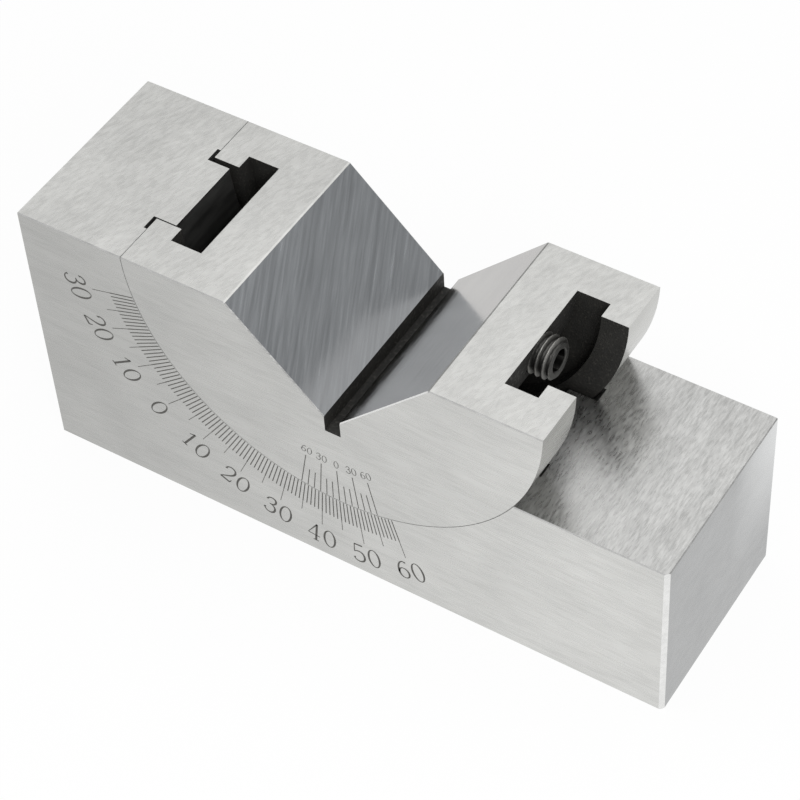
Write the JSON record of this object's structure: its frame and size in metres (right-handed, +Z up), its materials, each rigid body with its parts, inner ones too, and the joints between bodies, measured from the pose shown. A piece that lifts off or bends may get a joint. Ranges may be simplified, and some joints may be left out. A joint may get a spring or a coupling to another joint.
{
  "type": "adjustable angle v block",
  "caption": "Ground steel V block whose half-round rotor carries a 90 degree vee and tilts in an arc seat, read on a degree scale with a vernier and clamped from below.",
  "frame": {"origin": "middle of the base's underside", "axes": "+X along the base towards the low step, +Y from the graduated front face to the back face, +Z up; the vee stands upright at rest, which is a reading of 45 degrees"},
  "size_m": [0.0984, 0.03, 0.0443],
  "materials": {
    "ground_steel": "surface ground, hardened steel",
    "black_oxide_steel": "black oxide"
  },
  "bodies": {
    "base": {"base_block": "ground_steel"},
    "rotor": {"v_rotor": "ground_steel", "stop_screw": "black_oxide_steel"},
    "clamp_screw_body": {"clamp_screw": "black_oxide_steel"},
    "clamp_nut_body": {"clamp_nut": "black_oxide_steel"}
  },
  "joints": [
    {"name": "rotor_tilt", "type": "hinge", "parent": "base", "child": "rotor", "pos_m": [-0.00035, 0, 0.0454], "axis": [0, -1, 0], "range_deg": [-75, 15]},
    {"name": "clamp_turn", "type": "hinge", "parent": "base", "child": "clamp_screw_body", "pos_m": [-0.00715, 0, 0], "axis": [0, 0, -1], "range_deg": [-30, 150]},
    {"name": "nut_lift", "type": "slide", "parent": "base", "child": "clamp_nut_body", "axis": [0, 0, 1], "range_m": [-0.000083, 0.000416]}
  ],
  "couplings": [
    {"joint": "clamp_turn", "follows": "nut_lift", "rad_per_m": 6283.2}
  ]
}
